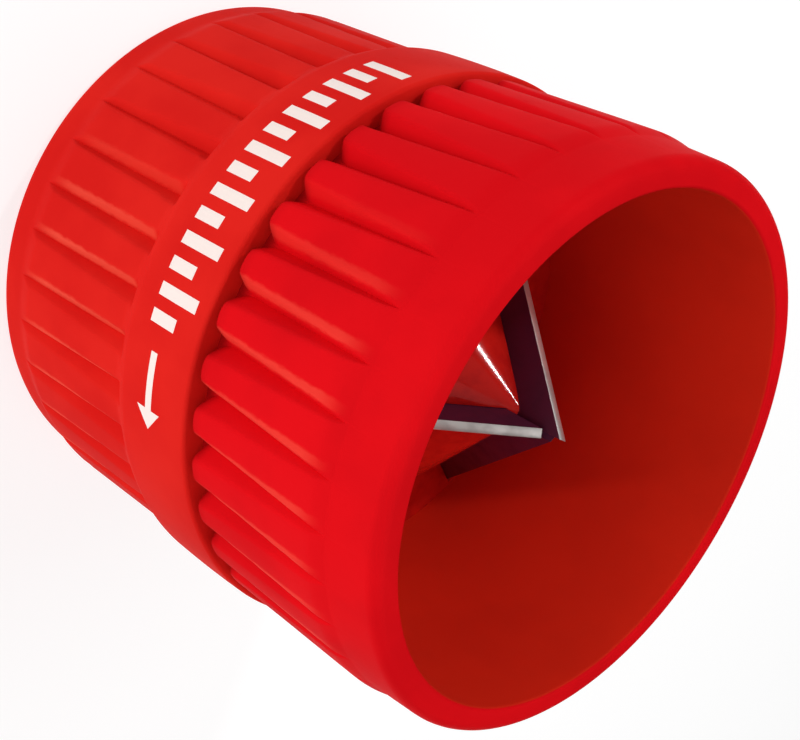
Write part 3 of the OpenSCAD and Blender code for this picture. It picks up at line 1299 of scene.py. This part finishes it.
@dataclass
class Carrier:
    """Cone and funnel, slotted for the blades and screwed together.

    The rings are radii of extra edges round the cone's tip and the funnel's, which keep the
    shading even where the faces narrow.
    """

    blades: BladeSet
    cone_apex: float = 48.05 * MM
    wall: float = 2.5 * MM
    base_radius: float = 19.45 * MM
    flange_radius: float = 26.65 * MM
    flange_bottom: float = 24.4 * MM
    flange_top: float = 28.6 * MM
    gap: float = 0.05 * MM
    funnel_radius: float = 24.6 * MM
    funnel_lip: float = 1.0 * MM
    screw_radius: float = 21.6 * MM
    screw_hole: float = 1.5 * MM
    head_pocket: float = 2.5 * MM
    seat_z: float = 21.8 * MM
    blade_gap: float = 0.05 * MM
    slot_low: float = 5 * MM
    slot_high: float = 60 * MM
    hole_end: float = 30 * MM
    edge_break: float = 0.12 * MM
    bevel_from: float = 0.6
    crease: float = 30.0
    steps: int = 180
    rings: tuple[float, ...] = (12 * MM, 6 * MM, 2.4 * MM, 0.9 * MM, 0.4 * MM)

    @property
    def skew(self) -> float:
        """Height that a wall takes up along the axis, on a 45 degree slope."""
        return self.wall * math.sqrt(2.0)

    def slots(self, end: float) -> list[bpy.types.Object]:
        """Make cutters for the three blades.

        Args:
            end: Radius that the slots reach.

        Returns:
            The cutters.
        """
        half = self.blades.thickness / 2 + self.blade_gap
        cutters = []
        for index, angle in enumerate(BLADE_ANGLES):
            low = (self.blades.tip(index) - self.blade_gap, -half, self.slot_low)
            high = (end + self.blade_gap, half, self.slot_high)
            cutters.append(box("slot_cutter", low, high, angle))
        return cutters

    def finish(
        self,
        piece: bpy.types.Object,
        cutters: Sequence[bpy.types.Object],
        node: str,
        material: bpy.types.Material,
    ) -> bpy.types.Object:
        """Cut a turned piece, break its edges and dress it.

        Args:
            piece: The turned piece.
            cutters: What to cut from it.
            node: The frame's node that it stands for.
            material: Its finish.

        Returns:
            The piece.
        """
        cut(piece, cutters)
        close_and_orient(piece)
        break_edges(piece, self.edge_break, angle_limit=self.bevel_from)
        shade(piece, self.crease)
        finish_piece(piece, node, [material])
        return piece

    def build_cone(self, material: bpy.types.Material) -> bpy.types.Object:
        """Model and dress the cone with its flange."""
        back_apex = self.cone_apex - self.skew
        profile = [
            (0.0, back_apex),
            (back_apex - self.flange_bottom, self.flange_bottom),
            (self.flange_radius, self.flange_bottom),
            (self.flange_radius, self.flange_top),
            (self.base_radius, self.flange_top),
            *[(radius, self.cone_apex - radius) for radius in self.rings],
            (0.0, self.cone_apex),
        ]
        piece = lathe("reaming_cone_body", profile, self.steps, closed=False)
        return self.finish(piece, self.slots(self.blades.reach), "reaming_cone", material)

    def build_funnel(self, material: bpy.types.Material) -> bpy.types.Object:
        """Model and dress the funnel with its screw seats."""
        top_apex = self.cone_apex - self.skew - self.gap * math.sqrt(2.0)
        apex = top_apex - self.skew
        mouth = self.funnel_radius - self.funnel_lip
        profile = [
            (0.0, apex),
            *[(radius, apex - radius) for radius in reversed(self.rings)],
            (mouth, apex - mouth),
            (self.funnel_radius, apex - mouth),
            (self.funnel_radius, self.flange_bottom),
            (top_apex - self.flange_bottom, self.flange_bottom),
            (0.0, top_apex),
        ]
        piece = lathe("chamfering_funnel_body", profile, self.steps, closed=False)
        cutters = self.slots(self.blades.foot)
        for angle in SCREW_ANGLES:
            turn = math.radians(angle)
            x, y = self.screw_radius * math.cos(turn), self.screw_radius * math.sin(turn)
            foot = Vector((x, y, 0))
            seat = foot + Vector((0, 0, self.seat_z))
            cutters.append(rod("pocket_cutter", self.head_pocket, foot, seat))
            end = foot + Vector((0, 0, self.hole_end))
            cutters.append(rod("hole_cutter", self.screw_hole, foot, end))
        return self.finish(piece, cutters, "chamfering_funnel", material)


def dress_node(node: bpy.types.Object, material: bpy.types.Material) -> None:
    """Give a frame node that stays on show a finished material."""
    node.data.materials.clear()
    node.data.materials.append(material)
    LOG.info("%s: kept from the frame, dressed in %s", node.name, material.name)


# ---------------------------------------------------------------------------------------------
# Studio
# ---------------------------------------------------------------------------------------------


@dataclass(frozen=True)
class Softbox:
    """A square area light, in a direction given along the camera's own axes."""

    name: str
    right: float
    up: float
    back: float
    power: float
    size: float = 350 * MM
    distance: float = 500 * MM


@dataclass
class Studio:
    """Camera, floor and lights."""

    eye: tuple[float, float, float] = (-115.51 * MM, 9.83 * MM, 124.74 * MM)
    gaze: tuple[float, float, float] = (0.77668, -0.08015, -0.62478)
    upright: tuple[float, float, float] = (-0.21562, 0.89812, -0.38326)
    lens: float = 65.87
    sensor: float = 36.0
    nearest: float = 10 * MM
    middle: tuple[float, float, float] = (0.0, 0.0, 29 * MM)
    floor_half: float = 20.0
    floor_z: float = -0.02 * MM
    sky: float = 0.05
    softboxes: tuple[Softbox, ...] = (
        Softbox("band_softbox", -0.45, 0.0, 0.9, 1.10),
        Softbox("floor_side_softbox", 0.6, -0.7, 0.3, 0.66),
        Softbox("low_softbox", -0.55, -0.6, 0.55, 0.44),
        Softbox("rim_softbox", 0.95, 0.0, 0.3, 0.73),
        Softbox("cup_softbox", 0.5, 0.0, 0.85, 0.10),
        Softbox("front_softbox", 0.0, -0.5, 0.85, 0.21),
        Softbox("glint_lamp", 0.738, 0.451, 0.501, 0.42, size=24 * MM, distance=411 * MM),
    )

    def camera_axes(self) -> Matrix:
        """Rotation whose columns are the camera's right, up and back."""
        back = -Vector(self.gaze).normalized()
        right = Vector(self.upright).cross(back).normalized()
        up = back.cross(right)
        return Matrix((right, up, back)).transposed()

    def build_camera(self) -> None:
        """Add the camera and make it the scene's."""
        deselect_all()
        turn = self.camera_axes().to_euler()
        bpy.ops.object.camera_add(location=self.eye, rotation=turn)
        camera = bpy.context.object
        camera.data.lens = self.lens
        camera.data.sensor_width = self.sensor
        camera.data.clip_start = self.nearest
        bpy.context.scene.camera = camera

    def build_lights(self) -> None:
        """Add the softboxes, each facing the tool's middle, and the even sky."""
        axes = self.camera_axes()
        for softbox in self.softboxes:
            offset = axes @ Vector((softbox.right, softbox.up, softbox.back)).normalized()
            offset *= softbox.distance
            place = Vector(self.middle) + offset
            turn = offset.to_track_quat("Z", "Y").to_euler()
            deselect_all()
            bpy.ops.object.light_add(type="AREA", location=place, rotation=turn)
            light = bpy.context.object
            light.name = softbox.name
            light.data.size = softbox.size
            light.data.energy = softbox.power
        world = bpy.data.worlds.new("studio_sky")
        world.use_nodes = True
        background = world.node_tree.nodes["Background"]
        background.inputs["Color"].default_value = (1, 1, 1, 1)
        background.inputs["Strength"].default_value = self.sky
        bpy.context.scene.world = world

    def build_floor(self) -> None:
        """Add the floor that the tool stands on."""
        deselect_all()
        place = (0, 0, self.floor_z)
        bpy.ops.mesh.primitive_plane_add(size=2 * self.floor_half, location=place)
        floor = bpy.context.object
        floor.name = "studio_floor"
        floor.data.materials.append(PaleFloor().build())

    def build(self) -> None:
        """Set up the whole studio."""
        self.build_camera()
        self.build_floor()
        self.build_lights()
        bpy.context.scene.view_settings.view_transform = "Standard"


# ---------------------------------------------------------------------------------------------
# Assembly
# ---------------------------------------------------------------------------------------------


def main() -> None:
    """Build the tool and its studio."""
    logging.basicConfig(level=logging.INFO, format="%(message)s")
    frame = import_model()
    front_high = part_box("front_shell")[1]
    rear_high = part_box("rear_shell")[1]
    blade_low, blade_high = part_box("blade_long")
    band_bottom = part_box("reaming_cone")[0].z
    Studio().build()

    front_red = MouldedPlastic(
        name="red_moulded_plastic",
        # Painted highlight on the lit rib walls, and painted shade at the groove roots beside the
        # band.
        painted_light=RibPaintedLight(low=rear_high.z, high=front_high.z - RIM_MARGIN),
    ).build()
    rear_red = MouldedPlastic(
        name="red_moulded_plastic_printed",
        colour=(0.73, 0.0170, 0.0120, 1),
        deep=(0.67, 0.0120, 0.0095, 1),
        # The rear ribs take a painted highlight and no painted shade.
        highlight_tint=(0.86, 0.085, 0.050, 1),
        painted_light=RibPaintedLight(
            low=REAR_RIM_MARGIN,
            high=band_bottom - BAND_MARGIN,
            from_side=0.75,
            to_side=0.92,
            start=158.0,
            strength=0.72,
            low_fade=5 * MM,
            high_fade=1 * MM,
            shade_strength=0.0,
        ),
        marks=PrintedMarks(),
    ).build()
    bore_red = MouldedPlastic(
        name="red_bore_plastic",
        colour=(0.70, 0.0230, 0.0090, 1),
        deep=(0.66, 0.0210, 0.0085, 1),
    ).build()
    polished = PolishedPlastic().build()
    # Blade sides: the dark purple-red colour is painted shade and a painted reflection of the red cup.
    painted_blade_side = Steel(
        name="blade_side_shade_and_reflection",
        colour=(0.100, 0.014, 0.048, 1),
        stain=(0.080, 0.012, 0.042, 1),
        roughness=0.42,
        metal=0.3,
    ).build()
    blade_edge = Steel(
        name="ground_blade_edge",
        colour=(0.66, 0.63, 0.60, 1),
        stain=(0.48, 0.45, 0.43, 1),
        roughness=0.36,
        metal=0.85,
    ).build()
    pin_steel = Steel(
        name="drawn_pin_steel",
        colour=(0.62, 0.62, 0.64, 1),
        stain=(0.50, 0.50, 0.52, 1),
        roughness=0.28,
    ).build()
    zinc = Steel(
        name="bright_zinc",
        colour=(0.70, 0.70, 0.72, 1),
        stain=(0.58, 0.57, 0.55, 1),
        roughness=0.24,
    ).build()

    FrontShell(length=front_high.z, band_top=rear_high.z).build(front_red, bore_red)
    RearShell(
        band_radius=rear_high.x,
        band_bottom=band_bottom,
        band_top=rear_high.z,
    ).build(rear_red, bore_red)
    blades = BladeSet.within(blade_low, blade_high, shoulder_z=band_bottom)
    carrier = Carrier(blades)
    carrier.build_cone(polished)
    carrier.build_funnel(polished)
    for index in range(len(BLADE_ANGLES)):
        blades.build_one(index, painted_blade_side, blade_edge)
        dress_node(frame["nodes"][f"blade_pin_{index + 1}"], pin_steel)
        dress_node(frame["nodes"][f"clamp_screw_{index + 1}"], zinc)


if __name__ == "__main__":
    main()
